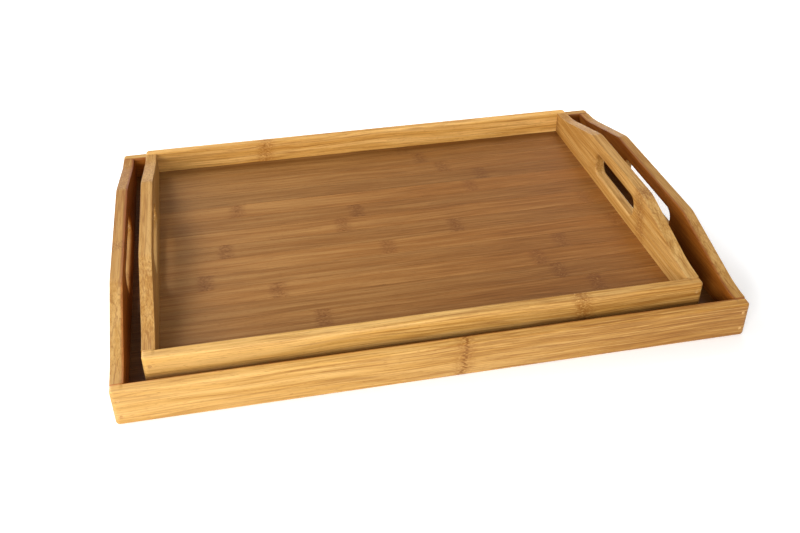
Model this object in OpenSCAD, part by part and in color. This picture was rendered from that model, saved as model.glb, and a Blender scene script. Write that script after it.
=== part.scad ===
// Nesting pair of bamboo serving trays: a small tray stands inside a larger one and lifts straight out.
// Each tray is a low frame of two long rails that cap the ends of two handle boards, pinned at the
// corners, around a floor of glued bamboo strips held in a groove.
// Millimetres. X runs along the long rails, +Y is the back, +Z is up.
// Origin: centre of the large tray's underside.

/* [Large tray] */
// Overall length of the large tray, handle board to handle board
large_l = 450; // [430:1:520]
// Overall width of the large tray, rail to rail
large_w = 331.5; // [316:0.5:400]
// Half the length of the straight top of a large handle
large_flat = 62; // [54:1:70]
// Length of the hand slot in a large handle board
large_slot_l = 95; // [80:1:106]

/* [Small tray] */
// Free length inside the large tray that the small tray leaves, both ends together
end_room = 32.1; // [14:0.1:50]
// Free width inside the large tray that the small tray leaves, both sides together
side_room = 13.8; // [9:0.1:26]
// How far the small tray stands off centre along X
shift_x = -3.6; // [-6:0.1:6]
// How far the small tray stands off centre along Y
shift_y = 2.6; // [-4:0.1:4]
// Half the length of the straight top of a small handle
small_flat = 50; // [44:1:54]
// Length of the hand slot in a small handle board
small_slot_l = 82; // [70:1:90]

/* [Frame] */
// Thickness of the rails and the handle boards
wall_t = 9.2; // [8.6:0.1:11]
// Height of the rails, and of the handle boards at the corners
rail_h = 28.2; // [26:0.1:32]
// Height of the handles above the tray's underside
handle_h = 48; // [46:0.5:50]
// Rounding of the handle's shoulders
shoulder_r = 28; // [15:1:35]
// Radius of the sweep from the shoulders down to the rails
sweep_r = 100; // [80:1:110]
// Rounding of the upright outside corners
corner_r = 3; // [1.5:0.1:3.2]
// Rounding of the rails' top edges
edge_r = 1.6; // [0.8:0.1:2]
// Rounding of the bottom outside edges
base_r = 2; // [1:0.1:2.5]

/* [Hand slots] */
// Height of a slot
slot_h = 17.5; // [16.5:0.5:20]
// Height of a slot's lower edge above the tray's underside
slot_z = 19.3; // [16:0.1:20]
// Corner radius of a slot
slot_r = 7.5; // [5:0.5:8]
// Rounding of a slot's rims, inside and outside
lip_r = 2; // [1:0.1:2.5]

/* [Floor] */
// Height of the floor's top face above the tray's underside
floor_z = 9.7; // [9:0.1:11]
// Thickness of the floor
floor_t = 5.2; // [4:0.1:5.6]
// Width of a floor strip
strip_w = 20.2; // [18.5:0.1:24]
// Depth of the groove that holds the floor's edge
groove_d = 3; // [2:0.1:3]
// Offset of the middle seam of the small tray's floor from its centre line
small_seam = 4.9; // [0:0.1:9]

/* [Corner pins] */
// Diameter of a pin
pin_d = 2.6; // [2:0.1:2.8]
// Length of a pin, from the rail's outside face into the handle board
pin_l = 26; // [18:1:32]
// Height of the lower pin
pin_low_z = 7; // [6:0.5:8]
// Height of the upper pin
pin_high_z = 21; // [16:0.5:23]

/* [Hidden] */
$fn = 64;
// Clearance between the floor's edge and the bottom of its groove
groove_gap = 0.2;
// A seam closer than this to the floor's edge is left out
min_strip = 4;
// How far cutting shapes run past the faces that they cut
past = 1;
// A rounded edge's arc is centred this many times its size from the corner
ease = 1.25;

// A tray is [length, width, half straight top, slot length, seam offset, place of its underside's centre]
LARGE = [large_l, large_w, large_flat, large_slot_l, 0, [0, 0, 0]];
SMALL = [
    large_l - 2 * wall_t - end_room,
    large_w - 2 * wall_t - side_room,
    small_flat,
    small_slot_l,
    small_seam,
    [shift_x, shift_y, floor_z]
];
function length_of(tray) = tray[0];
function width_of(tray) = tray[1];
function flat_of(tray) = tray[2];
function slot_of(tray) = tray[3];
function seam_of(tray) = tray[4];
function place_of(tray) = tray[5];

// Half the length of a handle board, which fits between the rails
function board_half(tray) = width_of(tray) / 2 - wall_t;
// Half the size of the floor along X and along Y, tongues in the grooves included
function floor_half_x(tray) = length_of(tray) / 2 - wall_t + groove_d - groove_gap;
function floor_half_y(tray) = width_of(tray) / 2 - wall_t + groove_d - groove_gap;

// Edges of the floor strips along Y: the floor's two sides and the seams between them
function strip_edges(tray) =
    let (half = floor_half_y(tray), inner = half - min_strip, n = ceil(2 * half / strip_w))
    concat(
        [-half],
        [for (k = [-n : n]) let (y = seam_of(tray) + k * strip_w) if (abs(y) < inner) y],
        [half]
    );
function strip_count(tray) = len(strip_edges(tray)) - 1;

// A handle's outline turns down at the shoulder, slopes straight down and sweeps out level at the rail.
// The slope's angle follows from the two arcs' radii and the run between their ends.
rise = handle_h - rail_h;
radii = shoulder_r + sweep_r;
arc_steps = 8;
function run_of(tray) = board_half(tray) - flat_of(tray);
function slope_l(tray) = sqrt(pow(run_of(tray), 2) + pow(radii - rise, 2) - pow(radii, 2));
function slope_a(tray) = atan2(radii, slope_l(tray)) - atan2(radii - rise, run_of(tray));
// Points of an arc, and of half a handle board's outline from its foot up to the middle of its top
function arc(centre, radius, from, to) =
    [for (i = [0 : arc_steps]) let (a = from + (to - from) * i / arc_steps)
        centre + radius * [cos(a), sin(a)]];
function sweep_arc(tray) =
    arc([board_half(tray), rail_h + sweep_r], sweep_r, 270, 270 - slope_a(tray));
function shoulder_arc(tray) =
    arc([flat_of(tray), handle_h - shoulder_r], shoulder_r, 90 - slope_a(tray), 90);
function half_outline(tray) = concat([[board_half(tray), 0]], sweep_arc(tray), shoulder_arc(tray));
function mirrored(points) = [for (i = [len(points) - 1 : -1 : 0]) [-points[i].x, points[i].y]];

function two_digits(i) = i < 10 ? str("0", i) : str(i);
function strip_names(prefix, tray) =
    [for (i = [1 : strip_count(tray)]) str(prefix, "_floor_strip_", two_digits(i))];
function tray_names(prefix, tray) = concat(
    [for (name = ["front_rail", "back_rail", "left_handle_board", "right_handle_board", "corner_pins"])
        str(prefix, "_", name)],
    strip_names(prefix, tray)
);

HONEY = [0.87, 0.63, 0.34];
AMBER = [0.80, 0.55, 0.28];
PALE = [0.92, 0.76, 0.52];
// Tones of the floor strips, the even ones first
STRIP_TONES = [[0.62, 0.38, 0.18], [0.72, 0.48, 0.25]];

// Waste outside a rounded corner at the origin of a shape that fills the quarter x > 0, y > 0.
// The arc starts r from the corner on both sides and meets them at a slight angle, as a sanded edge does.
module corner_waste(r) {
    centre = ease * r;
    difference() {
        translate([-past, -past]) square(centre + past);
        translate([centre, centre]) circle(sqrt(pow(centre, 2) + pow(centre - r, 2)));
    }
}

// Waste along a rounded edge of a board: x is the distance outside the board's edge, y runs across
// its thickness, and sides chooses the face or faces whose edge is rounded
module edge_waste(r, sides) {
    for (s = sides)
        scale([1, s]) translate([0, wall_t / 2]) rotate(180) corner_waste(r);
}

// The waste swept from one point to another, with the board on the right of that direction
module straight_edge(from, to, r, sides) {
    step = to - from;
    translate([from.x, from.y, 0]) rotate(atan2(step.y, step.x)) rotate([90, 0, 90])
        linear_extrude(norm(step)) edge_waste(r, sides);
}

// The waste swept along an arc that is hollowed into the board
module hollow_edge(centre, radius, start, turn, r) {
    translate([centre.x, centre.y, 0]) rotate(start)
        rotate_extrude(angle = turn) translate([radius, 0]) mirror([1, 0]) edge_waste(r, [-1, 1]);
}

// The hand slot, through the board, with its rims rounded on both faces
module hand_slot(tray) {
    x = slot_of(tray) / 2;
    low = slot_z;
    high = slot_z + slot_h;
    linear_extrude(wall_t + 2 * past, center = true) {
        translate([-x + slot_r, low]) square([2 * (x - slot_r), slot_h]);
        translate([-x, low + slot_r]) square([2 * x, slot_h - 2 * slot_r]);
        for (cx = [-x + slot_r, x - slot_r], cy = [low + slot_r, high - slot_r])
            translate([cx, cy]) circle(slot_r);
    }
    straight_edge([-x + slot_r, low], [x - slot_r, low], lip_r, [-1, 1]);
    straight_edge([x - slot_r, high], [-x + slot_r, high], lip_r, [-1, 1]);
    straight_edge([x, low + slot_r], [x, high - slot_r], lip_r, [-1, 1]);
    straight_edge([-x, high - slot_r], [-x, low + slot_r], lip_r, [-1, 1]);
    hollow_edge([x - slot_r, high - slot_r], slot_r, 0, 90, lip_r);
    hollow_edge([-x + slot_r, high - slot_r], slot_r, 90, 90, lip_r);
    hollow_edge([-x + slot_r, low + slot_r], slot_r, 180, 90, lip_r);
    hollow_edge([x - slot_r, low + slot_r], slot_r, 270, 90, lip_r);
}

// The four bores, or the four pins, along one rail, centred on the tray
module pin_row(tray, length) {
    for (x = [-1, 1] * (length_of(tray) - wall_t) / 2, z = [pin_low_z, pin_high_z])
        translate([x, -width_of(tray) / 2, z]) rotate([-90, 0, 0]) cylinder(d = pin_d, h = length);
}

// A handle board at the right-hand end of a tray
module handle_board(tray) {
    floor_low = floor_z - floor_t;
    difference() {
        translate([length_of(tray) / 2 - wall_t / 2, 0, 0]) rotate([90, 0, 90]) difference() {
            linear_extrude(wall_t, center = true)
                polygon(concat(half_outline(tray), mirrored(half_outline(tray))));
            hand_slot(tray);
            straight_edge([board_half(tray) + past, 0], [-board_half(tray) - past, 0], base_r, [1]);
            translate([-board_half(tray) - past, floor_low, -wall_t / 2 - past])
                cube([2 * (board_half(tray) + past), floor_t, groove_d + past]);
        }
        for (s = [0, 1]) mirror([0, s, 0]) pin_row(tray, pin_l);
    }
}

// A rectangle standing on y = 0, centred on x = 0, with rounded bottom and top corners
module rail_front(length, low_r, top_r) {
    difference() {
        translate([-length / 2, 0]) square([length, rail_h]);
        for (s = [-1, 1]) {
            translate([s * length / 2, 0]) scale([-s, 1]) corner_waste(low_r);
            translate([s * length / 2, rail_h]) scale([-s, -1]) corner_waste(top_r);
        }
    }
}

// A rail at the front of a tray
module rail(tray) {
    l = length_of(tray);
    y_out = -width_of(tray) / 2;
    y_in = y_out + wall_t;
    inner = l / 2 - wall_t;
    groove_x = inner + groove_d;
    difference() {
        intersection() {
            translate([0, y_in, 0]) rotate([90, 0, 0]) linear_extrude(wall_t) rail_front(l, base_r, edge_r);
            linear_extrude(rail_h) difference() {
                translate([-l / 2, y_out]) square([l, wall_t]);
                for (s = [-1, 1]) translate([s * l / 2, y_out]) scale([-s, 1]) corner_waste(corner_r);
            }
        }
        // the rounded outside edges run the whole length, the inside one stops at the handle boards
        translate([-l / 2 - past, y_out, 0]) rotate([90, 0, 90]) linear_extrude(l + 2 * past) {
            corner_waste(base_r);
            translate([0, rail_h]) scale([1, -1]) corner_waste(edge_r);
        }
        translate([-inner, y_in, rail_h]) rotate([90, 0, 90]) linear_extrude(2 * inner)
            rotate(180) corner_waste(edge_r);
        translate([-groove_x, y_in - groove_d, floor_z - floor_t])
            cube([2 * groove_x, groove_d + past, floor_t]);
        pin_row(tray, wall_t + past);
    }
}

module front_rail(tray) {
    color(HONEY) translate(place_of(tray)) rail(tray);
}

module back_rail(tray) {
    color(HONEY) translate(place_of(tray)) mirror([0, 1, 0]) rail(tray);
}

module right_handle_board(tray) {
    color(AMBER) translate(place_of(tray)) handle_board(tray);
}

module left_handle_board(tray) {
    color(AMBER) translate(place_of(tray)) mirror([1, 0, 0]) handle_board(tray);
}

module corner_pins(tray) {
    color(PALE) translate(place_of(tray)) for (s = [0, 1]) mirror([0, s, 0]) pin_row(tray, pin_l);
}

// One strip of the floor, counted from the front
module floor_strip(tray, i) {
    edges = strip_edges(tray);
    color(STRIP_TONES[i % 2]) translate(place_of(tray))
        translate([-floor_half_x(tray), edges[i - 1], floor_z - floor_t])
            cube([2 * floor_half_x(tray), edges[i] - edges[i - 1], floor_t]);
}

front_rail(LARGE);  // large_front_rail
back_rail(LARGE);  // large_back_rail
left_handle_board(LARGE);  // large_left_handle_board
right_handle_board(LARGE);  // large_right_handle_board
corner_pins(LARGE);  // large_corner_pins
for (i = [1 : strip_count(LARGE)])
    floor_strip(LARGE, i);
front_rail(SMALL);  // small_front_rail
back_rail(SMALL);  // small_back_rail
left_handle_board(SMALL);  // small_left_handle_board
right_handle_board(SMALL);  // small_right_handle_board
corner_pins(SMALL);  // small_corner_pins
for (i = [1 : strip_count(SMALL)])
    floor_strip(SMALL, i);
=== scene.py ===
"""A nesting pair of bamboo serving trays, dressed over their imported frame.

A small tray stands inside a larger one. Each tray is a frame of two long rails that cap the ends of
two handle boards, pinned at the corners, round a floor of glued strips. Every piece is modelled again
here over its plain counterpart, with sanded arrises, a grooved seat for the floor and real bores, and
gets a bamboo finish of its own: growth figure, fibre streaks, pores and the knuckles of the culm.
"""

from __future__ import annotations

import logging
import math
import random
from dataclasses import dataclass, field
from enum import Enum
from typing import Callable, Sequence, Union

import bmesh
import bpy
from mathutils import Matrix, Vector

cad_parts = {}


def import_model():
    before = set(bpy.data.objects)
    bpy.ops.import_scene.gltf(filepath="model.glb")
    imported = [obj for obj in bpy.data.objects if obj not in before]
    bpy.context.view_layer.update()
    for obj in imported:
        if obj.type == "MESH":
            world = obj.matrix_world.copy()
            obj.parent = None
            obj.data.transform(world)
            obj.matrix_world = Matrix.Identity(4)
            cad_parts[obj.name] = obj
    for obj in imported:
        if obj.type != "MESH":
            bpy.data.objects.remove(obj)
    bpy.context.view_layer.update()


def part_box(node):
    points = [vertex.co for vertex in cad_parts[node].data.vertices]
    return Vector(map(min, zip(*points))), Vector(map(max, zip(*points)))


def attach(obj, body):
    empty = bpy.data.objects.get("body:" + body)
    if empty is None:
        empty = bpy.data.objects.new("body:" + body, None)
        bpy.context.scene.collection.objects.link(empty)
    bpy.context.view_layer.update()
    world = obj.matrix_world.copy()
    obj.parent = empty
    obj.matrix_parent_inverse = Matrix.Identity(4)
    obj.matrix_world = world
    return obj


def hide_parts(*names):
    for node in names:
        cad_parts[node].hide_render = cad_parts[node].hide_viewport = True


LOG = logging.getLogger("trays")

MM = 0.001
TOUCH = 0.01  # two places this near each other, in millimetres, are the same
MERGE = 1e-4  # corners this near each other, in millimetres, become one

Socket = bpy.types.NodeSocket
Value = Union[Socket, float]
Colour = tuple[float, float, float]
Span = tuple[Vector, Vector]


class Grain(Enum):
    """The way the fibres run in a piece, with the order in which its axes are read.

    The first letter is the axis along the fibres, the second the axis up the broad face and the
    third the axis through the thickness.
    """

    RAIL = "XZY"
    BOARD = "YZX"
    STRIP = "XYZ"


class End(Enum):
    """The two ends of a tray, by the sign of the axis that they stand on."""

    LEFT = -1
    RIGHT = 1


class Side(Enum):
    """The two long sides of a tray, by the sign of the axis that they stand on."""

    FRONT = -1
    BACK = 1


def at(place: float, *values: float) -> bool:
    """Say whether all the values, in millimetres, are at a place."""
    return all(abs(value - place) < TOUCH for value in values)


def set_up(name: str, data: bpy.types.ID) -> bpy.types.Object:
    """Make an object and put it in the scene.

    Args:
        name: The object's name.
        data: Its mesh, lamp or camera.

    Returns:
        The object.
    """
    made = bpy.data.objects.new(name, data)
    bpy.context.scene.collection.objects.link(made)
    return made


# --------------------------------------------------------------------------------------------------
# Finishes
# --------------------------------------------------------------------------------------------------


class Graph:
    """A material's node tree, with short ways to add the nodes that a finish needs."""

    def __init__(self, name: str) -> None:
        """Start an empty material.

        Args:
            name: The material's name.
        """
        self.material = bpy.data.materials.new(name)
        self.material.use_nodes = True
        self.tree = self.material.node_tree
        self.tree.nodes.clear()

    def node(self, kind: str, **settings: object) -> bpy.types.Node:
        """Add a node.

        Args:
            kind: The node's type, without the leading "ShaderNode".
            **settings: Properties to set on the node.

        Returns:
            The new node.
        """
        made = self.tree.nodes.new("ShaderNode" + kind)
        for name, value in settings.items():
            setattr(made, name, value)
        return made

    def feed(self, socket: Socket, value: object) -> None:
        """Give an input a plain value or wire another node's output to it.

        Args:
            socket: The input.
            value: A number, a tuple or an output socket.
        """
        if isinstance(value, bpy.types.NodeSocket):
            self.tree.links.new(value, socket)
        else:
            socket.default_value = value

    def math(self, operation: str, *values: Value, clamp: bool = False) -> Socket:
        """Add a Math node.

        Args:
            operation: The operation's name.
            *values: Its one to three inputs.
            clamp: Whether the result is held between 0 and 1.

        Returns:
            The result.
        """
        made = self.node("Math", operation=operation, use_clamp=clamp)
        for socket, value in zip(made.inputs, values):
            self.feed(socket, value)
        return made.outputs[0]

    def step(self, value: Value, start: float, stop: float, low: float = 0.0, high: float = 1.0) -> Socket:
        """Turn a value smoothly from one level to another.

        Args:
            value: The value that is read.
            start: The value at which the change starts.
            stop: The value at which the change ends.
            low: The level before start.
            high: The level after stop.

        Returns:
            The level.
        """
        made = self.node("MapRange", interpolation_type="SMOOTHSTEP")
        for socket, given in zip(made.inputs, (value, start, stop, low, high)):
            self.feed(socket, given)
        return made.outputs[0]

    def mix(self, share: Value, first: object, second: object) -> Socket:
        """Mix two colours.

        Args:
            share: How much of the second colour is taken.
            first: The first colour.
            second: The second colour.

        Returns:
            The mixed colour.
        """
        made = self.node("Mix", data_type="RGBA")
        self.feed(made.inputs[0], share)
        for socket, colour in ((made.inputs[6], first), (made.inputs[7], second)):
            self.feed(socket, (*colour, 1.0) if isinstance(colour, tuple) else colour)
        return made.outputs[2]

    def tinted(self, colour: Socket, level: Value) -> Socket:
        """Make a colour lighter or darker.

        Args:
            colour: The colour.
            level: What each of its parts is multiplied by.

        Returns:
            The new colour.
        """
        made = self.node("VectorMath", operation="SCALE")
        self.feed(made.inputs[0], colour)
        self.feed(made.inputs["Scale"], level)
        return made.outputs[0]


@dataclass(frozen=True)
class Knuckle:
    """A joint of the bamboo culm where it crosses a piece.

    Attributes:
        place: Where it crosses, along the fibres, in millimetres in the frame's own coordinates.
        depth: How dark its mottled zone is, from 0 to 1.
        line: How dark the jagged line in its middle is, from 0 to 1.
        lean: How far it leans along the fibres for each millimetre across them.
        spread: Half the length of its mottled zone, in millimetres.
    """

    place: float
    depth: float = 0.8
    line: float = 0.1
    lean: float = 0.0
    spread: float = 9.0


@dataclass(frozen=True)
class Stock:
    """How one piece was cut from the culm.

    Attributes:
        grain: The way its fibres run.
        seed: Which part of the pattern it shows.
        knuckles: The culm's joints that cross it.
        tone: How light it is, 1 being as the finish says.
        ends: How brown it is at its low and at its high end along the fibres; below 0 it is paler.
        reach: Its low and its high end along the fibres, in millimetres.
        middle: Its middle across the fibres, in millimetres.
        seam: Where two laminae are glued together, across the fibres, in millimetres.
        painted_inner_shade: Painted shade: what the colour of the face that looks into the tray is
            multiplied by.
        faces: Its inside and its outside face, through the thickness, in millimetres.
        painted_top_light: How much lighter its top is painted: a painted highlight for the light that falls
            on the top.
        top: The height of its top, in millimetres.
    """

    grain: Grain
    seed: float
    knuckles: tuple[Knuckle, ...] = ()
    tone: float = 1.0
    ends: tuple[float, float] = (0.0, 0.0)
    reach: tuple[float, float] = (-200.0, 200.0)
    middle: float = 0.0
    seam: float | None = None
    painted_inner_shade: Colour | None = None
    faces: tuple[float, float] = (0.0, 1.0)
    painted_top_light: float = 1.0
    top: float = 0.0


@dataclass(frozen=True)
class Layer:
    """One layer of the wood's figure: soft patches, drawn out along the fibres.

    Attributes:
        along: Length of a patch, in millimetres.
        across: Its width, in millimetres.
        shift: What is added to a piece's seed, so that no two layers line up.
        detail: How many finer layers are added.
        roughness: How strong those are.
    """

    along: float
    across: float
    shift: float
    detail: float = 1.0
    roughness: float = 0.5


FIGURE = Layer(150.0, 5.0, 0.0, 3.0, 0.6)
STREAK = Layer(45.0, 1.1, 5.0, 3.0, 0.6)
THREAD = Layer(85.0, 0.8, 51.0)
VEIN = Layer(210.0, 5.0, 27.0, 2.0)
FIBRE = Layer(22.0, 0.45, 9.0, 2.0, 0.65)
PORE = Layer(5.0, 0.5, 13.0)
SWAY = Layer(120.0, 40.0, 17.0)
SWIRL = Layer(9.0, 5.0, 23.0)
JAG = Layer(1.0, 2.6, 31.0, 2.0, 0.7)
MOTTLE = Layer(2.2, 1.0, 41.0, 3.0, 0.7)

BEND = 7.0  # how far fibres sway or swirl across, in millimetres
DRIFT = 8.0  # how far a knuckle's line strays along the fibres, in millimetres
TOOTH = 1.5  # half the width of a tooth of that line, in millimetres


class GrainGraph(Graph):
    """The node tree of one piece of bamboo.

    Attributes:
        stock: How the piece was cut.
        along: The place along the fibres, in millimetres.
        across: The place up the broad face, in millimetres.
        through: The place through the thickness, in millimetres.
    """

    def __init__(self, name: str, stock: Stock) -> None:
        """Start the material and read the piece's own coordinates in the order of its grain.

        Args:
            name: The material's name.
            stock: How the piece was cut.
        """
        super().__init__(name)
        self.stock = stock
        millimetres = self.node("VectorMath", operation="SCALE")
        self.feed(millimetres.inputs[0], self.node("TexCoord").outputs["Object"])
        self.feed(millimetres.inputs["Scale"], 1 / MM)
        split = self.node("SeparateXYZ")
        self.feed(split.inputs[0], millimetres.outputs[0])
        self.along, self.across, self.through = (split.outputs[letter] for letter in stock.grain.value)

    def place(self, along: Value, across: Value) -> Socket:
        """Join two places with the one through the thickness.

        Args:
            along: The place along the fibres.
            across: The place up the broad face.

        Returns:
            Grain coordinates.
        """
        made = self.node("CombineXYZ")
        for socket, value in zip(made.inputs, (along, across, self.through)):
            self.feed(socket, value)
        return made.outputs[0]

    def layer(self, place: Socket, layer: Layer) -> Socket:
        """Draw a layer of the figure.

        Args:
            place: Grain coordinates.
            layer: The layer.

        Returns:
            A value around one half.
        """
        seed = self.stock.seed + layer.shift
        scaled = self.node("Mapping")
        self.feed(scaled.inputs["Vector"], place)
        self.feed(scaled.inputs["Scale"], (1 / layer.along, 1 / layer.across, 1 / layer.across))
        self.feed(scaled.inputs["Location"], (seed * 1.7, seed * 3.1, seed * 2.3))
        made = self.node("TexNoise")
        self.feed(made.inputs["Vector"], scaled.outputs[0])
        self.feed(made.inputs["Scale"], 1.0)
        self.feed(made.inputs["Detail"], layer.detail)
        self.feed(made.inputs["Roughness"], layer.roughness)
        return made.outputs[0]

    def swing(self, value: Socket, size: float) -> Socket:
        """Turn a value around one half into one that swings to both sides of nothing.

        Args:
            value: The value.
            size: How far apart its two furthest swings are.

        Returns:
            The swinging value.
        """
        return self.math("MULTIPLY", self.math("SUBTRACT", value, 0.5), size)

    def strongest(self, values: list[Socket]) -> Socket:
        """Take the strongest of several values.

        Args:
            values: The values.

        Returns:
            The largest of them.
        """
        top = values[0]
        for value in values[1:]:
            top = self.math("MAXIMUM", top, value)
        return top


@dataclass(frozen=True)
class Bamboo:
    """Lacquered bamboo.

    Attributes:
        name: What the finish is called.
        pale: Colour of the soft tissue between the fibres.
        warm: Colour of most of the surface.
        brown: Colour of its browner stretches.
        dark: Colour of the fibre streaks and the pores.
        knot: Colour of the mottling at the culm's joints.
        streaks: How strong the fibre streaks are, from 0 to 1.
        threads: How strong the thin dark threads along the fibres are, from 0 to 1.
        veins: How strong the long thin growth lines are, from 0 to 1.
        roughness: How rough the lacquer is.
        coat: How much clear lacquer stands over the fibres.
        sheen: How strongly the fibres themselves mirror, 0.5 being usual.
        relief: Height of the fibre relief that shows through the lacquer, in millimetres.
    """

    name: str
    pale: Colour
    warm: Colour
    brown: Colour
    dark: Colour
    knot: Colour
    streaks: float = 0.5
    threads: float = 0.45
    veins: float = 0.3
    roughness: float = 0.46
    coat: float = 0.06
    sheen: float = 0.2
    relief: float = 0.05

    def material(self, piece: str, stock: Stock) -> bpy.types.Material:
        """Make the finish for one piece.

        Args:
            piece: The piece's name.
            stock: How it was cut from the culm.

        Returns:
            The material.
        """
        g = GrainGraph(f"{self.name}_{piece}", stock)
        zone, line = self._knuckles(g)
        place = self._fibre_place(g, zone)
        figure, streak, thread, vein, fibre, pore = (
            g.layer(place, layer) for layer in (FIGURE, STREAK, THREAD, VEIN, FIBRE, PORE)
        )
        patchy = self._browning(g, figure)
        worn = g.math("MULTIPLY_ADD", patchy, 0.8, 0.3, clamp=True)
        ridge = g.math("ABSOLUTE", g.math("SUBTRACT", vein, 0.5))
        streaks = g.step(streak, 0.50, 0.64, 0.0, self.streaks)
        streaks = g.math("MULTIPLY", streaks, g.math("MULTIPLY_ADD", worn, 0.65, 0.35))
        threads = g.math("MULTIPLY", g.step(thread, 0.57, 0.66, 0.0, self.threads), worn)

        colour = self._ground(g, figure, patchy)
        colour = g.mix(g.step(ridge, 0.04, 0.0, 0.0, self.veins), colour, self.dark)
        colour = g.mix(streaks, colour, self.dark)
        colour = g.mix(g.step(streak, 0.46, 0.34, 0.0, 0.5), colour, self.pale)
        colour = g.mix(threads, colour, self.dark)
        colour = g.mix(g.step(pore, 0.63, 0.73, 0.0, 0.45), colour, self.dark)
        colour = self._knot_colour(g, place, colour, zone, line)
        colour = self._seam(g, colour)
        # painted shade on the face that looks into the tray
        colour = self._paint_inner_shade(g, colour)
        colour = g.tinted(colour, g.step(fibre, 0.2, 0.8, 1.12 * stock.tone, 0.88 * stock.tone))
        # painted highlight: the top is made lighter for the light that falls on it
        if stock.painted_top_light != 1.0:
            colour = g.tinted(colour, g.step(g.across, stock.top - 1.6, stock.top - 0.3, 1.0, stock.painted_top_light))
        return self._lacquer(g, colour, fibre, streak, zone, line)

    @staticmethod
    def _knuckles(g: GrainGraph) -> tuple[Value, Value]:
        """Find how near a point is to the culm's joints.

        Args:
            g: The piece's nodes.

        Returns:
            The strength of the mottled zone and that of the jagged line in its middle.
        """
        if not g.stock.knuckles:
            return 0.0, 0.0
        drift = g.swing(g.layer(g.place(0.0, g.across), JAG), DRIFT)
        teeth = g.math("PINGPONG", g.math("ADD", g.across, drift), TOOTH)
        zig = g.math("ADD", g.math("MULTIPLY", g.math("SUBTRACT", teeth, TOOTH / 2), 2.0), drift)
        zones: list[Socket] = []
        lines: list[Socket] = []
        for knuckle in g.stock.knuckles:
            leaning = g.math("MULTIPLY", g.math("SUBTRACT", g.across, g.stock.middle), knuckle.lean)
            offset = g.math("SUBTRACT", g.math("SUBTRACT", g.along, knuckle.place), leaning)
            sharp = g.math("ABSOLUTE", g.math("SUBTRACT", offset, zig))
            wide = g.math("ABSOLUTE", g.math("SUBTRACT", offset, g.math("MULTIPLY", zig, 0.6)))
            zones.append(g.step(wide, knuckle.spread, 0.2 * knuckle.spread, 0.0, knuckle.depth))
            lines.append(g.step(sharp, 1.2, 0.6, 0.0, knuckle.line))
        return g.strongest(zones), g.strongest(lines)

    @staticmethod
    def _fibre_place(g: GrainGraph, zone: Value) -> Socket:
        """Bend straight coordinates into the slow sway of the fibres, which swirl at a knuckle.

        Args:
            g: The piece's nodes.
            zone: The strength of the knuckles' zone.

        Returns:
            Grain coordinates in millimetres.
        """
        straight = g.place(g.along, g.across)
        sway = g.swing(g.layer(straight, SWAY), BEND)
        swirl = g.math("MULTIPLY", g.swing(g.layer(straight, SWIRL), BEND), zone)
        return g.place(g.along, g.math("ADD", g.math("ADD", g.across, sway), swirl))

    @staticmethod
    def _browning(g: GrainGraph, figure: Socket) -> Socket:
        """Find how brown a point is: browner towards one end, unevenly.

        Args:
            g: The piece's nodes.
            figure: The broad figure.

        Returns:
            The browning; below 0 it is paler instead.
        """
        return g.math("ADD", g.step(g.along, *g.stock.reach, *g.stock.ends), g.swing(figure, 1.1))

    def _ground(self, g: GrainGraph, figure: Socket, patchy: Socket) -> Socket:
        """Mix the broad colour out of the growth figure and the browning.

        Args:
            g: The piece's nodes.
            figure: The broad figure.
            patchy: The browning.

        Returns:
            The colour.
        """
        colour = g.mix(g.step(figure, 0.36, 0.62), self.pale, self.warm)
        colour = g.mix(g.math("MULTIPLY", patchy, -1.0, clamp=True), colour, self.pale)
        return g.mix(g.math("ADD", patchy, 0.0, clamp=True), colour, self.brown)

    def _seam(self, g: GrainGraph, colour: Socket) -> Socket:
        """Draw the glue line of two laminae, the lower one a little browner.

        Args:
            g: The piece's nodes.
            colour: The colour so far.

        Returns:
            The colour.
        """
        if g.stock.seam is None:
            return colour
        above = g.math("SUBTRACT", g.across, g.stock.seam)
        colour = g.mix(g.step(above, 0.2, -0.2, 0.0, 0.3), colour, self.brown)
        return g.mix(g.step(g.math("ABSOLUTE", above), 0.45, 0.1, 0.0, 0.55), colour, self.pale)

    @staticmethod
    def _paint_inner_shade(g: GrainGraph, colour: Socket) -> Socket:
        """Paint shade on the face that looks into the tray, for the shade and the reddened bounce light in
        the narrow gap between the trays.

        Args:
            g: The piece's nodes.
            colour: The colour so far.

        Returns:
            The colour.
        """
        if g.stock.painted_inner_shade is None:
            return colour
        inside, outside = g.stock.faces
        thickness = outside - inside
        made = g.node("Mix", data_type="RGBA", blend_type="MULTIPLY")
        g.feed(made.inputs[0], g.step(g.through, inside + 0.3 * thickness, inside + 0.05 * thickness))
        g.feed(made.inputs[6], colour)
        g.feed(made.inputs[7], (*g.stock.painted_inner_shade, 1.0))
        return made.outputs[2]

    def _knot_colour(self, g: GrainGraph, place: Socket, colour: Socket, zone: Value, line: Value) -> Socket:
        """Paint the mottling and the jagged line of the knuckles.

        Args:
            g: The piece's nodes.
            place: Grain coordinates.
            colour: The colour so far.
            zone: The strength of the mottled zone.
            line: The strength of the jagged line.

        Returns:
            The colour.
        """
        if not g.stock.knuckles:
            return colour
        mottle = g.layer(place, MOTTLE)
        spots = g.math("MULTIPLY", g.step(mottle, 0.44, 0.62), zone)
        lights = g.math("MULTIPLY", g.step(mottle, 0.46, 0.32, 0.0, 0.5), zone)
        broken = g.math("MULTIPLY", line, g.step(mottle, 0.30, 0.50, 0.7, 1.0))
        colour = g.mix(g.math("MULTIPLY", zone, 0.35), colour, self.knot)
        colour = g.mix(g.math("MULTIPLY", spots, 0.9), colour, self.knot)
        colour = g.mix(lights, colour, self.pale)
        return g.mix(broken, colour, self.dark)

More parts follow.
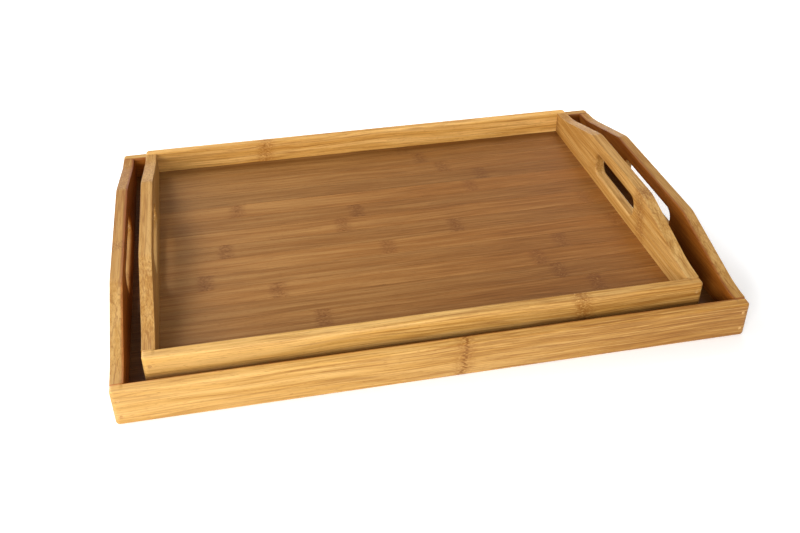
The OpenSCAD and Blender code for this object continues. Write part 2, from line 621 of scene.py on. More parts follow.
    def _lacquer(
        self, g: GrainGraph, colour: Socket, fibre: Socket, streak: Socket, zone: Value, line: Value
    ) -> bpy.types.Material:
        """Put the colour under a satin lacquer that sinks a little into the fibres.

        Args:
            g: The piece's nodes.
            colour: The colour.
            fibre: The fine fibres.
            streak: The fibre streaks.
            zone: The strength of the knuckles' zone.
            line: The strength of the knuckles' line.

        Returns:
            The finished material.
        """
        smooth, rough = self.roughness - 0.05, self.roughness + 0.09
        height = g.math("ADD", g.math("MULTIPLY", fibre, 0.6), g.math("MULTIPLY", streak, 0.7))
        if g.stock.knuckles:
            height = g.math("SUBTRACT", height, g.math("MULTIPLY", line, 0.6))
            height = g.math("ADD", height, g.math("MULTIPLY", zone, 0.4))
        bump = g.node("Bump")
        bump.inputs["Strength"].default_value = 0.6
        bump.inputs["Distance"].default_value = self.relief * MM
        g.feed(bump.inputs["Height"], height)
        shader = g.node("BsdfPrincipled")
        shader.inputs["Specular IOR Level"].default_value = self.sheen
        shader.inputs["Coat Weight"].default_value = self.coat
        shader.inputs["Coat Roughness"].default_value = 0.3
        g.feed(shader.inputs["Base Color"], colour)
        g.feed(shader.inputs["Roughness"], g.step(fibre, 0.25, 0.75, smooth, rough))
        g.feed(shader.inputs["Normal"], bump.outputs[0])
        g.feed(g.node("OutputMaterial").inputs["Surface"], shader.outputs[0])
        return g.material


HONEY = Bamboo(
    name="honey_bamboo",
    pale=(0.63, 0.375, 0.118),
    warm=(0.52, 0.280, 0.064),
    brown=(0.385, 0.180, 0.034),
    dark=(0.23, 0.085, 0.013),
    knot=(0.27, 0.105, 0.018),
    streaks=0.6,
    threads=0.8,
    veins=0.4,
)
HANDLE = Bamboo(
    name="handle_bamboo",
    pale=(0.58, 0.340, 0.105),
    warm=(0.47, 0.245, 0.054),
    brown=(0.37, 0.165, 0.030),
    dark=(0.25, 0.090, 0.012),
    knot=(0.26, 0.100, 0.017),
    streaks=0.5,
    veins=0.5,
)
TOASTED = Bamboo(
    name="toasted_bamboo",
    pale=(0.36, 0.172, 0.046),
    warm=(0.29, 0.122, 0.026),
    brown=(0.235, 0.085, 0.013),
    dark=(0.150, 0.050, 0.007),
    knot=(0.168, 0.055, 0.009),
    streaks=0.5,
    threads=0.6,
    veins=0.15,
)
PIN = Bamboo(
    name="pin_bamboo",
    pale=(0.60, 0.35, 0.125),
    warm=(0.50, 0.265, 0.080),
    brown=(0.42, 0.20, 0.050),
    dark=(0.30, 0.13, 0.030),
    knot=(0.30, 0.13, 0.030),
    streaks=0.5,
)


# --------------------------------------------------------------------------------------------------
# Solids
# --------------------------------------------------------------------------------------------------


class Solid:
    """A closed solid in millimetres, shaped by joiner's steps and turned into a piece at the end.

    Attributes:
        RING_FRAME: Half the side of the square that is drawn round a bore, in millimetres.
        CRISP: The angle from which an edge stays crisp, in radians.
    """

    RING_FRAME = 1.5
    CRISP = math.radians(38)

    def __init__(self) -> None:
        """Start with nothing."""
        self.bm = bmesh.new()

    @classmethod
    def block(cls, low: Vector, high: Vector) -> Solid:
        """Saw a block.

        Args:
            low: Its lowest corner.
            high: Its highest corner.

        Returns:
            The block.
        """
        made = cls()
        made.add_block(low, high)
        return made

    @classmethod
    def plate(cls, outline: Sequence[Vector], thickness: Vector) -> Solid:
        """Saw a flat outline out of a board.

        Args:
            outline: The corners of one face, in order.
            thickness: From that face to the other one.

        Returns:
            The plate.
        """
        made = cls()
        face = made.bm.faces.new([made.bm.verts.new(point) for point in outline])
        grown = bmesh.ops.extrude_face_region(made.bm, geom=[face])
        moved = [item for item in grown["geom"] if isinstance(item, bmesh.types.BMVert)]
        bmesh.ops.translate(made.bm, verts=moved, vec=thickness)
        bmesh.ops.recalc_face_normals(made.bm, faces=made.bm.faces)
        return made

    def add_block(self, low: Vector, high: Vector) -> list[bmesh.types.BMVert]:
        """Add a block to the solid.

        Args:
            low: Its lowest corner.
            high: Its highest corner.

        Returns:
            Its corners.
        """
        made = bmesh.ops.create_cube(self.bm, size=1.0)["verts"]
        bmesh.ops.scale(self.bm, verts=made, vec=high - low)
        bmesh.ops.translate(self.bm, verts=made, vec=(low + high) / 2)
        return made

    def score(self, axis: int, *places: float) -> None:
        """Run loops of edges round the solid, square to an axis.

        Args:
            axis: The axis, 0, 1 or 2.
            *places: Where each loop stands on it.
        """
        normal = Vector([1.0 if i == axis else 0.0 for i in range(3)])
        for place in places:
            geom = [*self.bm.verts, *self.bm.edges, *self.bm.faces]
            bmesh.ops.bisect_plane(self.bm, geom=geom, dist=MERGE, plane_co=normal * place, plane_no=normal)

    def edges(self, wanted: Callable[[Vector, Vector], bool]) -> list[bmesh.types.BMEdge]:
        """Pick edges by where their ends are.

        Args:
            wanted: Says for the two ends whether the edge is picked.

        Returns:
            The edges.
        """
        return [e for e in self.bm.edges if wanted(e.verts[0].co, e.verts[1].co)]

    def faces(self, wanted: Callable[[Vector, Vector], bool]) -> list[bmesh.types.BMFace]:
        """Pick faces by their middle and the way they face.

        Args:
            wanted: Says for the middle and the normal whether the face is picked.

        Returns:
            The faces.
        """
        self.bm.normal_update()
        return [f for f in self.bm.faces if wanted(f.calc_center_bounds(), f.normal)]

    def round(self, edges: Sequence[bmesh.types.BMEdge], size: float, segments: int) -> None:
        """Round edges over.

        Args:
            edges: The edges.
            size: How far from the edge the rounding starts.
            segments: How many facets it has.
        """
        bmesh.ops.bevel(
            self.bm,
            geom=list(edges),
            offset=size,
            offset_type="OFFSET",
            segments=segments,
            profile=0.5,
            affect="EDGES",
            material=-1,
            clamp_overlap=True,
        )

    def sink(self, faces: Sequence[bmesh.types.BMFace], depth: Vector) -> None:
        """Push faces into the solid, leaving walls round them.

        Args:
            faces: The faces.
            depth: How far and which way they go.
        """
        grown = bmesh.ops.extrude_face_region(self.bm, geom=list(faces))
        moved = [item for item in grown["geom"] if isinstance(item, bmesh.types.BMVert)]
        bmesh.ops.translate(self.bm, verts=moved, vec=depth)
        bmesh.ops.delete(self.bm, geom=list(faces), context="FACES")

    def ring(self, centre: Vector, axis: int, radius: float) -> bmesh.types.BMFace:
        """Draw a round face in a flat one, ready to be bored.

        Args:
            centre: The bore's centre on the flat face.
            axis: The axis that the face is square to.
            radius: The bore's radius.

        Returns:
            The round face.
        """
        for other in {0, 1, 2} - {axis}:
            self.score(other, centre[other] - self.RING_FRAME, centre[other] + self.RING_FRAME)
        square = self.centred(centre)[0]
        bmesh.ops.subdivide_edges(self.bm, edges=square.edges[:], cuts=5)
        face = self.centred(centre)[0]
        bmesh.ops.inset_region(self.bm, faces=[face], thickness=0.1, use_even_offset=True)
        for vertex in face.verts:
            vertex.co = centre + (vertex.co - centre).normalized() * radius
        return face

    def centred(self, *centres: Vector) -> list[bmesh.types.BMFace]:
        """Pick the faces whose middles are at the given places."""
        return self.faces(lambda c, n: min((c - centre).length for centre in centres) < 5 * TOUCH)

    def bore_through(self, near: Vector, far: Vector, axis: int, radius: float) -> None:
        """Bore a hole from one face to the opposite one.

        Args:
            near: Its centre on one face.
            far: Its centre on the other face.
            axis: The axis along which it runs.
            radius: Its radius.
        """
        for centre in (near, far):
            self.ring(centre, axis, radius)
        rounds = self.centred(near, far)
        edges = [edge for face in rounds for edge in face.edges]
        bmesh.ops.delete(self.bm, geom=rounds, context="FACES_ONLY")
        bmesh.ops.bridge_loops(self.bm, edges=edges)

    def piece(self, name: str) -> bpy.types.Object:
        """Turn the solid into an object in metres, with smooth faces and crisp edges kept.

        Args:
            name: The object's name.

        Returns:
            The object.
        """
        bmesh.ops.remove_doubles(self.bm, verts=self.bm.verts, dist=MERGE)
        bmesh.ops.dissolve_degenerate(self.bm, edges=self.bm.edges, dist=MERGE)
        bmesh.ops.recalc_face_normals(self.bm, faces=self.bm.faces)
        for face in self.bm.faces:
            face.smooth = True
        open_edges = 0
        for edge in self.bm.edges:
            joined = len(edge.link_faces) == 2
            edge.smooth = not (joined and edge.calc_face_angle(0.0) > self.CRISP)
            open_edges += not joined
        if open_edges:
            LOG.warning("%s has %d edges that don't join two faces", name, open_edges)
        bmesh.ops.scale(self.bm, verts=self.bm.verts, vec=(MM, MM, MM))
        mesh = bpy.data.meshes.new(name)
        self.bm.to_mesh(mesh)
        self.bm.free()
        made = set_up(name, mesh)
        made.modifiers.new("flat_faces_stay_flat", "WEIGHTED_NORMAL").keep_sharp = True
        return made


def box_of(node: str) -> Span:
    """Read a node's box from the frame.

    Args:
        node: The node's name.

    Returns:
        Its lowest and highest corner in millimetres.
    """
    low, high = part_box(node)
    return low / MM, high / MM


@dataclass
class Maker:
    """What every sub-assembly of a tray shares.

    Attributes:
        body: The body that its pieces ride on.
        prefix: The first word of its pieces' names.
    """

    body: str
    prefix: str

    def put(self, solid: Solid, node: str, slot: str, material: bpy.types.Material) -> bpy.types.Object:
        """Turn a solid into a piece that stands for a node.

        Args:
            solid: The finished solid.
            node: The node that it replaces.
            slot: The record's material slot; not used.
            material: Its finish.

        Returns:
            The piece.
        """
        made = solid.piece(f"{node}_finished")
        made.data.materials.append(material)
        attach(made, self.body)
        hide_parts(node)
        LOG.info("%-38s %6d faces, on %s", made.name, len(made.data.polygons), self.body)
        return made


# --------------------------------------------------------------------------------------------------
# Sub-assemblies
# --------------------------------------------------------------------------------------------------


@dataclass
class Joinery:
    """The sizes that the frame's pieces share, in millimetres.

    Attributes:
        groove_depth: Depth of the groove that holds the floor.
        arris: Rounding of the top edges.
        base: Rounding of the bottom outside edges.
        corner: Rounding of the upright outside corners.
        pin_radius: Radius of a corner pin.
        pin_slack: Gap round a pin's end.
        pin_heights: Heights of the pins above the tray's underside.
        pin_length: Length of a pin.
        pin_depth: Depth of its bore in a handle board.
    """

    groove_depth: float = 3.0
    arris: float = 1.6
    base: float = 2.0
    corner: float = 3.0
    pin_radius: float = 1.3
    pin_slack: float = 0.08
    pin_heights: tuple[float, float] = (7.0, 21.0)
    pin_length: float = 26.0
    pin_depth: float = 16.9

    @property
    def bore(self) -> float:
        """Give the radius of a pin's bore."""
        return self.pin_radius + self.pin_slack


@dataclass
class Rails(Maker):
    """The two long rails of a tray.

    Attributes:
        joinery: The frame's shared sizes.
        floor: Box of the tray's floor.
        stocks: How each rail was cut.
    """

    joinery: Joinery
    floor: Span
    stocks: dict[Side, Stock]

    def build(self) -> None:
        """Build both rails."""
        for side in Side:
            node = f"{self.prefix}_{side.name.lower()}_rail"
            low, high = box_of(node)
            solid = self.shape(low, high, side)
            self.put(solid, node, "rail_bamboo", HONEY.material(node, self.stocks[side]))

    def shape(self, low: Vector, high: Vector, side: Side) -> Solid:
        """Shape one rail.

        Args:
            low: Its lowest corner.
            high: Its highest corner.
            side: The side of the tray that it stands on.

        Returns:
            The rail.
        """
        j = self.joinery
        outer, inner = (low.y, high.y) if side is Side.FRONT else (high.y, low.y)
        wall = high.y - low.y
        near, far = low.x + wall, high.x - wall
        under, over = self.floor[0].z, self.floor[1].z
        rail = Solid.block(low, high)
        rail.score(0, near, far)
        self.round_edges(rail, low, high, outer, inner)
        near, far = near - j.groove_depth, far + j.groove_depth
        rail.score(0, near, far)
        rail.score(2, under, over)
        mouth = rail.faces(lambda c, n: at(inner, c.y) and near < c.x < far and under < c.z < over)
        rail.sink(mouth, Vector((0, side.value * j.groove_depth, 0)))
        for x in (low.x + wall / 2, high.x - wall / 2):
            for height in j.pin_heights:
                z = low.z + height
                rail.bore_through(Vector((x, outer, z)), Vector((x, inner, z)), 1, j.bore)
        return rail

    def round_edges(self, rail: Solid, low: Vector, high: Vector, outer: float, inner: float) -> None:
        """Round the rail's arrises, the upright corners most.

        Args:
            rail: The rail's block.
            low: Its lowest corner.
            high: Its highest corner.
            outer: Where its outside face is.
            inner: Where its inside face is.
        """
        j = self.joinery
        wall = high.y - low.y

        def crosses(a: Vector, b: Vector) -> bool:
            """Say whether an edge crosses the rail away from its two ends."""
            return at(a.x, b.x) and low.x + j.corner < a.x < high.x - j.corner

        def against_board(a: Vector, b: Vector) -> bool:
            """Say whether an edge of the inside face lies against a handle board."""
            return at(inner, a.y, b.y) and not low.x + wall < (a.x + b.x) / 2 < high.x - wall

        corners = rail.edges(
            lambda a, b: at(outer, a.y, b.y) and (at(low.x, a.x, b.x) or at(high.x, a.x, b.x))
        )
        rail.round(corners, j.corner, segments=5)
        top = rail.edges(
            lambda a, b: at(high.z, a.z, b.z) and not crosses(a, b) and not against_board(a, b)
        )
        rail.round(top, j.arris, segments=4)
        bottom = rail.edges(
            lambda a, b: at(low.z, a.z, b.z) and not crosses(a, b) and not at(inner, a.y, b.y)
        )
        rail.round(bottom, j.base, segments=4)


@dataclass
class HandleBoards(Maker):
    """The two end boards of a tray, each with its raised handle and hand slot.

    Attributes:
        joinery: The frame's shared sizes.
        floor: Box of the tray's floor.
        rail_height: Height of the rails.
        flat: Half the length of the handle's straight top.
        slot: Length of the hand slot.
        stocks: How each board was cut.
        shoulder: Rounding of the handle's shoulders.
        sweep: Radius of the sweep down to the rails.
        slot_low: Height of the slot's lower edge.
        slot_height: Height of the slot.
        slot_corner: Corner radius of the slot.
        lip: Rounding of the slot's rims.
        ease: Share of the sweep that is rounded, so that it stops short of the board's end.
    """

    joinery: Joinery
    floor: Span
    rail_height: float
    flat: float
    slot: float
    stocks: dict[End, Stock]
    shoulder: float = 28.0
    sweep: float = 100.0
    slot_low: float = 19.3
    slot_height: float = 17.5
    slot_corner: float = 7.5
    lip: float = 2.0
    ease: float = 0.98

    def build(self) -> None:
        """Build both boards."""
        for end in End:
            node = f"{self.prefix}_{end.name.lower()}_handle_board"
            low, high = box_of(node)
            solid = self.shape(low, high, end)
            self.put(solid, node, "handle_board_bamboo", HANDLE.material(node, self.stocks[end]))

    def outline(self, half: float, top: float) -> tuple[dict[str, tuple[float, float]], float]:
        """Work out the corners of half a board's outline, before its bends are rounded.

        Args:
            half: Half the board's length.
            top: The handle's height.

        Returns:
            The corners as (place along the board, height), in order, and the tangent of half the
            slope's angle.
        """
        rise = top - self.rail_height
        radii = self.shoulder + self.sweep
        run = half - self.flat
        slope = math.sqrt(run**2 + (radii - rise) ** 2 - radii**2)
        angle = math.atan2(radii, slope) - math.atan2(radii - rise, run)
        bend = math.tan(angle / 2)
        x = self.slot / 2
        slot_top = self.slot_low + self.slot_height
        corners = {
            "middle_foot": (0.0, 0.0),
            "end_foot": (half, 0.0),
            "end_top": (half, self.rail_height),
            "sweep": (half - self.sweep * bend, self.rail_height),
            "shoulder": (self.flat + self.shoulder * bend, top),
            "middle_top": (0.0, top),
            "slot_middle_top": (0.0, slot_top),
            "slot_top": (x, slot_top),
            "slot_foot": (x, self.slot_low),
            "slot_middle_foot": (0.0, self.slot_low),
        }
        return corners, bend

    def shape(self, low: Vector, high: Vector, end: End) -> Solid:
        """Shape one board: half of it is sawn and rounded, and the other half mirrors it.

        Args:
            low: Its lowest corner.
            high: Its highest corner.
            end: The end of the tray that it stands on.

        Returns:
            The board.
        """
        j = self.joinery
        centre_y, half = (low.y + high.y) / 2, (high.y - low.y) / 2
        outer, inner = (high.x, low.x) if end is End.RIGHT else (low.x, high.x)
        corners, bend = self.outline(half, high.z - low.z)
        face = [Vector((inner, s, z)) for s, z in corners.values()]
        board = Solid.plate(face, Vector((outer - inner, 0, 0)))

        def upright(corner: str) -> list[bmesh.types.BMEdge]:
            """Pick the edge through the thickness at a corner of the outline."""
            s, z = corners[corner]
            return board.edges(lambda a, b: at(s, a.y, b.y) and at(z, a.z, b.z))

        board.round(upright("sweep"), self.sweep * bend * self.ease, segments=10)
        board.round(upright("shoulder"), self.shoulder * bend, segments=6)
        board.round(upright("slot_top") + upright("slot_foot"), self.slot_corner, segments=8)
        self.round_rims(board, inner, outer)
        self.open_groove(board, low.z, inner, half, end)
        for height in j.pin_heights:
            mouth = board.ring(Vector(((inner + outer) / 2, half, height)), 1, j.bore)
            board.sink([mouth], Vector((0, -j.pin_depth, 0)))
        self.mirror(board)
        bmesh.ops.translate(board.bm, verts=board.bm.verts, vec=(0, centre_y, low.z))
        return board

    def round_rims(self, board: Solid, inner: float, outer: float) -> None:
        """Round the slot's rims, the top arrises and the bottom outside edge.

        Args:
            board: The half board.
            inner: Where its inside face is.
            outer: Where its outside face is.
        """
        j = self.joinery
        slot_top = self.slot_low + self.slot_height

        def rounded(a: Vector, b: Vector) -> bool:
            """Say whether an edge lies in a broad face and isn't where the halves meet."""
            return (at(inner, a.x, b.x) or at(outer, a.x, b.x)) and not at(0.0, a.y, b.y)

        def at_slot(p: Vector) -> bool:
            """Say whether a corner belongs to the hand slot."""
            return p.y < self.slot / 2 + TOUCH and self.slot_low - TOUCH < p.z < slot_top + TOUCH

        def at_top(p: Vector) -> bool:
            """Say whether a corner is as high as the rails or higher."""
            return p.z > self.rail_height - TOUCH

        rims = board.edges(lambda a, b: rounded(a, b) and at_slot(a) and at_slot(b))
        board.round(rims, self.lip, segments=5)
        top = board.edges(
            lambda a, b: rounded(a, b) and at_top(a) and at_top(b) and not (at_slot(a) and at_slot(b))
        )
        board.round(top, j.arris, segments=4)
        foot = board.edges(lambda a, b: at(outer, a.x, b.x) and at(0.0, a.z, b.z))
        board.round(foot, j.base, segments=4)

    def open_groove(self, board: Solid, base: float, inner: float, half: float, end: End) -> None:
        """Plough the groove for the floor, out through the board's end.

        Args:
            board: The half board.
            base: Height of the tray's underside.
            inner: Where the board's inside face is.
            half: Half its length.
            end: The end of the tray that it stands on.
        """
        depth = end.value * self.joinery.groove_depth
        low, high = self.floor[0].z - base, self.floor[1].z - base
        board.score(2, low, high)
        board.score(0, inner + depth)
        mouth = board.faces(lambda c, n: at(inner, c.x) and low < c.z < high and c.y > TOUCH)
        board.sink(mouth, Vector((depth, 0, 0)))
        shut = board.faces(
            lambda c, n: at(half, c.y) and low < c.z < high and abs(c.x - inner) < abs(depth) - TOUCH
        )
        bmesh.ops.delete(board.bm, geom=shut, context="FACES")
        bmesh.ops.remove_doubles(board.bm, verts=board.bm.verts, dist=MERGE)

    @staticmethod
    def mirror(board: Solid) -> None:
        """Make the whole board from its half.

        Args:
            board: The half board.
        """
        cut = board.faces(lambda c, n: at(0.0, c.y) and abs(n.y) > 0.99)
        bmesh.ops.delete(board.bm, geom=cut, context="FACES")
        geom = [*board.bm.verts, *board.bm.edges, *board.bm.faces]
        bmesh.ops.mirror(board.bm, geom=geom, matrix=Matrix.Identity(4), merge_dist=10 * MERGE, axis="Y")


@dataclass
class Floor(Maker):
    """The floor of a tray: strips glued edge to edge.

    Attributes:
        count: How many strips there are.
        stocks: How each strip was cut.
        seam: Size of the eased edges along a seam.
        settle: The most that a strip's face lies under the others, in millimetres.
    """

    count: int
    stocks: list[Stock]
    seam: float = 0.22
    settle: float = 0.05

    def build(self) -> None:
        """Build all the strips."""
        for index in range(self.count):
            node = f"{self.prefix}_floor_strip_{index + 1:02d}"
            low, high = box_of(node)
            strip = Solid.block(low, high - Vector((0, 0, self.settle * random.random())))
            strip.round(strip.edges(lambda a, b: at(a.y, b.y) and at(a.z, b.z)), self.seam, segments=2)
            slot = "floor_strip_light" if index % 2 == 0 else "floor_strip_dark"
            self.put(strip, node, slot, TOASTED.material(node, self.stocks[index]))


@dataclass
class Pins(Maker):
    """The corner pins of a tray.

    Attributes:
        joinery: The frame's shared sizes.
        chamfer: Chamfer of a pin's ends.
        seed: Which part of the pattern the pins show.
    """

    joinery: Joinery
    chamfer: float = 0.25
    seed: float = 71.0

    def build(self) -> None:
        """Build all the pins as one group."""
        node = f"{self.prefix}_corner_pins"
        low, high = box_of(node)
        radius, length = self.joinery.pin_radius, self.joinery.pin_length
        base = box_of(f"{self.prefix}_front_rail")[0].z
        turn = Matrix.Rotation(math.pi / 2, 4, "X")
        pins = Solid()
        for x in (low.x + radius, high.x - radius):
            for height in self.joinery.pin_heights:
                for y in (low.y + length / 2, high.y - length / 2):
                    corners = bmesh.ops.create_cone(
                        pins.bm,
                        cap_ends=True,
                        cap_tris=False,
                        segments=24,
                        radius1=radius,
                        radius2=radius,
                        depth=length,
                        matrix=Matrix.Translation((x, y, base + height)) @ turn,
                    )["verts"]
                    edges = {edge for corner in corners for edge in corner.link_edges}
                    rims = [edge for edge in edges if at(edge.verts[0].co.y, edge.verts[1].co.y)]
                    pins.round(rims, self.chamfer, segments=2)
        self.put(pins, node, "pin_bamboo", PIN.material(node, Stock(Grain.BOARD, self.seed)))


@dataclass
class Tray:
    """One tray of the pair.

    Attributes:
        prefix: The first word of its nodes' names.
        flat: Half the length of a handle's straight top, in millimetres.
        slot: Length of a hand slot, in millimetres.
        strips: How many strips its floor has.
        knuckles: For each piece's name, without the prefix, the culm's joints that cross it.
        tones: For each piece's name, without the prefix, how light it is.
        ends: For each piece's name, without the prefix, how brown its low and its high end are.
        seams: For each piece's name, without the prefix, the height of its glue line over the underside.
        floor_tone: How light its floor strips are, besides their own tones.
        floor_ends: How brown its floor strips are at the left and at the right.
        painted_inner_shade: Painted shade: what the colours of its walls' inside faces are multiplied by.
        painted_top_lights: For each piece's name, without the prefix, how much lighter its top is painted: a
            painted highlight.
    """

    prefix: str
    flat: float
    slot: float
    strips: int
    knuckles: dict[str, tuple[Knuckle, ...]] = field(default_factory=dict)
    tones: dict[str, float] = field(default_factory=dict)
    ends: dict[str, tuple[float, float]] = field(default_factory=dict)
    seams: dict[str, float] = field(default_factory=dict)
    floor_tone: float = 1.0
    floor_ends: tuple[float, float] = (0.3, 0.3)
    painted_inner_shade: Colour | None = None
    painted_top_lights: dict[str, float] = field(default_factory=dict)

    def stock(self, name: str, grain: Grain) -> Stock:
        """Choose how a piece is cut.

        Args:
            name: The piece's name, without the prefix.
            grain: The way its fibres run.

        Returns:
            Its stock.
        """
        low, high = box_of(f"{self.prefix}_{name}")
        along, across, through = ("XYZ".index(letter) for letter in grain.value)
        strip = grain is Grain.STRIP
        near, far = low[through], high[through]
        return Stock(
            grain=grain,
            seed=random.uniform(0, 90),
            knuckles=self.knuckles.get(name, ()),
            tone=self.tones.get(name, 1.0) * (self.floor_tone if strip else 1.0),
            ends=self.ends.get(name, self.floor_ends if strip else (0.3, 0.3)),
            reach=(low[along], high[along]),
            middle=(low[across] + high[across]) / 2,
            seam=low.z + self.seams[name] if name in self.seams else None,
            painted_inner_shade=None if strip else self.painted_inner_shade,
            faces=(far, near) if far < 0 else (near, far),
            painted_top_light=self.painted_top_lights.get(name, 1.0),
            top=high.z,
        )

    def build(self) -> None:
        """Build the tray's sub-assemblies in the order in which they are joined."""
        body = f"{self.prefix}_tray"
        joinery = Joinery()
        floor_low, _ = box_of(f"{self.prefix}_floor_strip_01")
        _, floor_high = box_of(f"{self.prefix}_floor_strip_{self.strips:02d}")
        floor = (floor_low, floor_high)
        rail_low, rail_high = box_of(f"{self.prefix}_front_rail")
        rail_height = rail_high.z - rail_low.z
        strips = [self.stock(f"floor_strip_{i + 1:02d}", Grain.STRIP) for i in range(self.strips)]
        Floor(body, self.prefix, self.strips, strips).build()
        boards = {end: self.stock(f"{end.name.lower()}_handle_board", Grain.BOARD) for end in End}
        HandleBoards(body, self.prefix, joinery, floor, rail_height, self.flat, self.slot, boards).build()
        rails = {side: self.stock(f"{side.name.lower()}_rail", Grain.RAIL) for side in Side}
        Rails(body, self.prefix, joinery, floor, rails).build()
        Pins(body, self.prefix, joinery).build()


LARGE_TRAY = Tray(
    prefix="large",
    flat=62.0,
    slot=95.0,
    strips=16,
    knuckles={
        "front_rail": (Knuckle(12.0, 0.6, 1.0, 0.1, 11.0),),
        "back_rail": (Knuckle(-60.0, 0.8, 0.5, -0.1),),
        "right_handle_board": (Knuckle(96.0, 0.8),),
        "left_handle_board": (Knuckle(-20.0, 0.8),),
    },
    tones={"front_rail": 0.92, "right_handle_board": 0.92, "left_handle_board": 0.95},
    ends={
        "front_rail": (-0.3, 1.0),
        "back_rail": (0.2, 0.5),
        "left_handle_board": (-0.2, 1.1),
        "right_handle_board": (0.3, 0.6),
    },
    # painted shade: the large tray's floor lies under the small tray, so its strips are darkened and browned
    # as a whole
    floor_tone=0.55,
    floor_ends=(0.9, 0.9),
    # painted shade on the inside faces of the large tray's walls, which the small tray's walls shade
    painted_inner_shade=(0.62, 0.36, 0.14),
    # painted highlight along the top of the large front rail
    painted_top_lights={"front_rail": 1.25},
)
SMALL_TRAY = Tray(
    prefix="small",
    flat=50.0,
    slot=82.0,
    strips=15,
    knuckles={
        "front_rail": (Knuckle(106.0, 1.0, 0.6, -0.2, 10.0),),
        "back_rail": (Knuckle(-97.0, 1.0, 0.2, 0.1, 10.0),),
        "right_handle_board": (Knuckle(-54.0, 0.9, 0.1, 0.3, 12.0),),
        "floor_strip_15": (Knuckle(31.0, 0.6),),
        "floor_strip_14": (Knuckle(44.0, 0.8),),
        "floor_strip_13": (Knuckle(61.0, 0.8),),
        "floor_strip_12": (Knuckle(92.0, 0.7),),
        "floor_strip_11": (Knuckle(-129.0, 0.8), Knuckle(77.0, 0.8)),
        "floor_strip_10": (Knuckle(-29.0, 1.0, 0.3),),
        "floor_strip_09": (Knuckle(-44.0, 0.7), Knuckle(169.0, 0.6)),
        "floor_strip_08": (Knuckle(-142.0, 0.9), Knuckle(48.0, 0.9)),
        "floor_strip_07": (Knuckle(-13.0, 0.8), Knuckle(181.0, 0.8)),
        "floor_strip_06": (Knuckle(-160.0, 0.8), Knuckle(125.0, 0.8)),
        "floor_strip_05": (Knuckle(-106.0, 0.8), Knuckle(100.0, 0.9)),
        "floor_strip_04": (Knuckle(110.0, 1.0),),
        "floor_strip_03": (Knuckle(-77.0, 0.9), Knuckle(133.0, 1.0)),
    },
    tones={
        "front_rail": 1.12,
        "back_rail": 1.3,
        "floor_strip_15": 0.80,
        "floor_strip_14": 0.84,
        "floor_strip_13": 0.93,
        "floor_strip_12": 0.86,
        "floor_strip_11": 1.08,
        "floor_strip_10": 0.95,
        "floor_strip_09": 1.08,
        "floor_strip_08": 0.97,
        "floor_strip_07": 1.10,
        "floor_strip_05": 1.08,
        "floor_strip_04": 0.97,
        "floor_strip_03": 1.06,
    },
    ends={
        "front_rail": (-0.4, 0.7),
        "back_rail": (0.5, 0.2),
        "right_handle_board": (0.1, 0.6),
    },
    seams={"left_handle_board": 14.5, "right_handle_board": 14.5},
    floor_ends=(-0.1, 0.9),
)


# --------------------------------------------------------------------------------------------------
# Studio
# --------------------------------------------------------------------------------------------------


@dataclass(frozen=True)
class Lamp:
    """A square soft light.

    Attributes:
        name: Its name.
        place: Where it hangs, in metres.
        power: Its power in watts.
        size: The length of its sides, in metres.
        target: Where it points, in metres.
        spread: The angle that its light fills, in degrees.
    """

    name: str
    place: tuple[float, float, float]
    power: float
    size: float = 0.6
    target: tuple[float, float, float] = (0.0, 0.0, 0.02)
    spread: float = 180.0


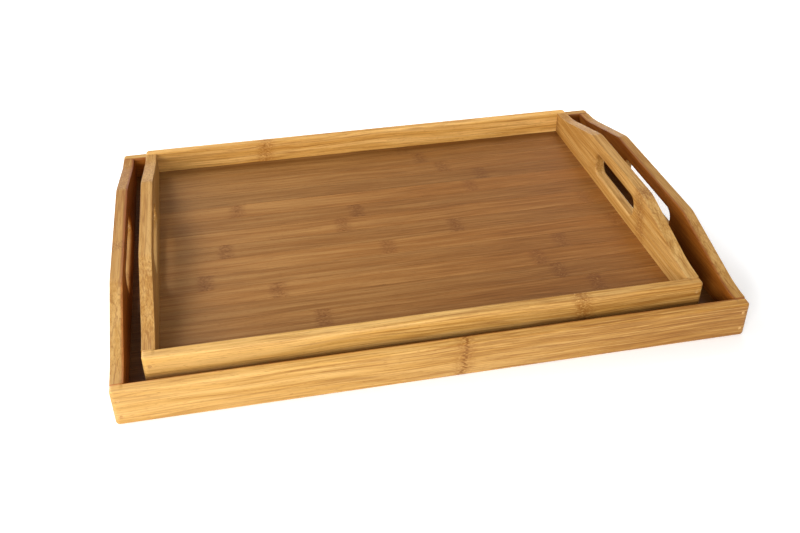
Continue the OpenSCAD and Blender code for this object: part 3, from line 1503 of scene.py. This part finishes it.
@dataclass
class Studio:
    """The plain floor, the soft lights and the camera.

    Attributes:
        eye: Where the camera stands, in metres.
        forward: The way it looks.
        upward: The way its top points.
        lens: Its focal length in millimetres on a 36 mm sensor.
        lamps: The soft lights.
        room: How bright the room itself is.
        floor_half: Half the side of the floor, in metres.
        floor_drop: How far it lies under the trays, in metres.
        floor_tone: How pale it is.
        floor_glow: How bright it shines by itself.
    """

    eye: Vector = field(default_factory=lambda: Vector((-0.13114, -0.64791, 0.44112)))
    forward: Vector = field(default_factory=lambda: Vector((0.16385, 0.80495, -0.57027)))
    upward: Vector = field(default_factory=lambda: Vector((0.12208, 0.55709, 0.82143)))
    lens: float = 42.6
    lamps: tuple[Lamp, ...] = (
        Lamp("front_left_light", (-0.7, -1.2, 0.5), 13.5, size=0.5),
        Lamp("front_light", (0.1, -1.3, 0.5), 4.0, size=0.5),
        Lamp("left_light", (-1.3, -0.1, 0.45), 5.0, size=0.5),
        Lamp("back_left_light", (-0.9, 0.9, 1.0), 18.0, size=0.7),
        Lamp("background_light", (0.8, 0.85, 0.9), 14.0, size=0.9, target=(0.8, 0.85, 0.0), spread=90.0),
    )
    room: float = 0.44
    floor_half: float = 4.0
    floor_drop: float = 0.05 * MM
    floor_tone: float = 0.93
    floor_glow: float = 0.3

    def build(self) -> None:
        """Set up everything round the trays."""
        self.camera()
        self.lights()
        self.ground()
        bpy.context.scene.view_settings.view_transform = "Standard"

    def camera(self) -> None:
        """Stand the camera."""
        data = bpy.data.cameras.new("camera")
        data.lens = self.lens
        data.sensor_width = 36.0
        data.clip_start = 0.01
        made = set_up("camera", data)
        back = -self.forward.normalized()
        right = self.upward.cross(back).normalized()
        up = back.cross(right)
        turn = Matrix((right, up, back)).transposed().to_4x4()
        made.matrix_world = Matrix.Translation(self.eye) @ turn
        bpy.context.scene.camera = made

    def hang(self, lamp: Lamp) -> None:
        """Hang a square soft light.

        Args:
            lamp: The light.
        """
        data = bpy.data.lights.new(lamp.name, "AREA")
        data.size = lamp.size
        data.energy = lamp.power
        data.spread = math.radians(lamp.spread)
        made = set_up(lamp.name, data)
        place, target = Vector(lamp.place), Vector(lamp.target)
        made.location = place
        made.rotation_euler = (target - place).to_track_quat("-Z", "Y").to_euler()

    def lights(self) -> None:
        """Hang the lamps, and light the whole room a little."""
        for lamp in self.lamps:
            self.hang(lamp)
        world = bpy.data.worlds.new("studio")
        world.use_nodes = True
        background = world.node_tree.nodes["Background"]
        background.inputs["Color"].default_value = (1.0, 1.0, 1.0, 1.0)
        background.inputs["Strength"].default_value = self.room
        bpy.context.scene.world = world

    def ground(self) -> None:
        """Lay the pale floor."""
        bm = bmesh.new()
        bmesh.ops.create_grid(bm, x_segments=1, y_segments=1, size=self.floor_half)
        bmesh.ops.translate(bm, verts=bm.verts, vec=(0.0, 0.0, -self.floor_drop))
        mesh = bpy.data.meshes.new("studio_floor")
        bm.to_mesh(mesh)
        bm.free()
        g = Graph("studio_floor")
        shader = g.node("BsdfPrincipled")
        shader.inputs["Base Color"].default_value = (*[self.floor_tone] * 3, 1.0)
        shader.inputs["Roughness"].default_value = 0.9
        shader.inputs["Emission Color"].default_value = (1.0, 1.0, 1.0, 1.0)
        shader.inputs["Emission Strength"].default_value = self.floor_glow
        g.feed(g.node("OutputMaterial").inputs["Surface"], shader.outputs[0])
        mesh.materials.append(g.material)
        set_up("studio_floor", mesh)


def main() -> None:
    """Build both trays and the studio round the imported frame."""
    logging.basicConfig(level=logging.INFO, format="%(message)s")
    random.seed(7)
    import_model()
    Studio().build()
    LARGE_TRAY.build()
    SMALL_TRAY.build()


if __name__ == "__main__":
    main()
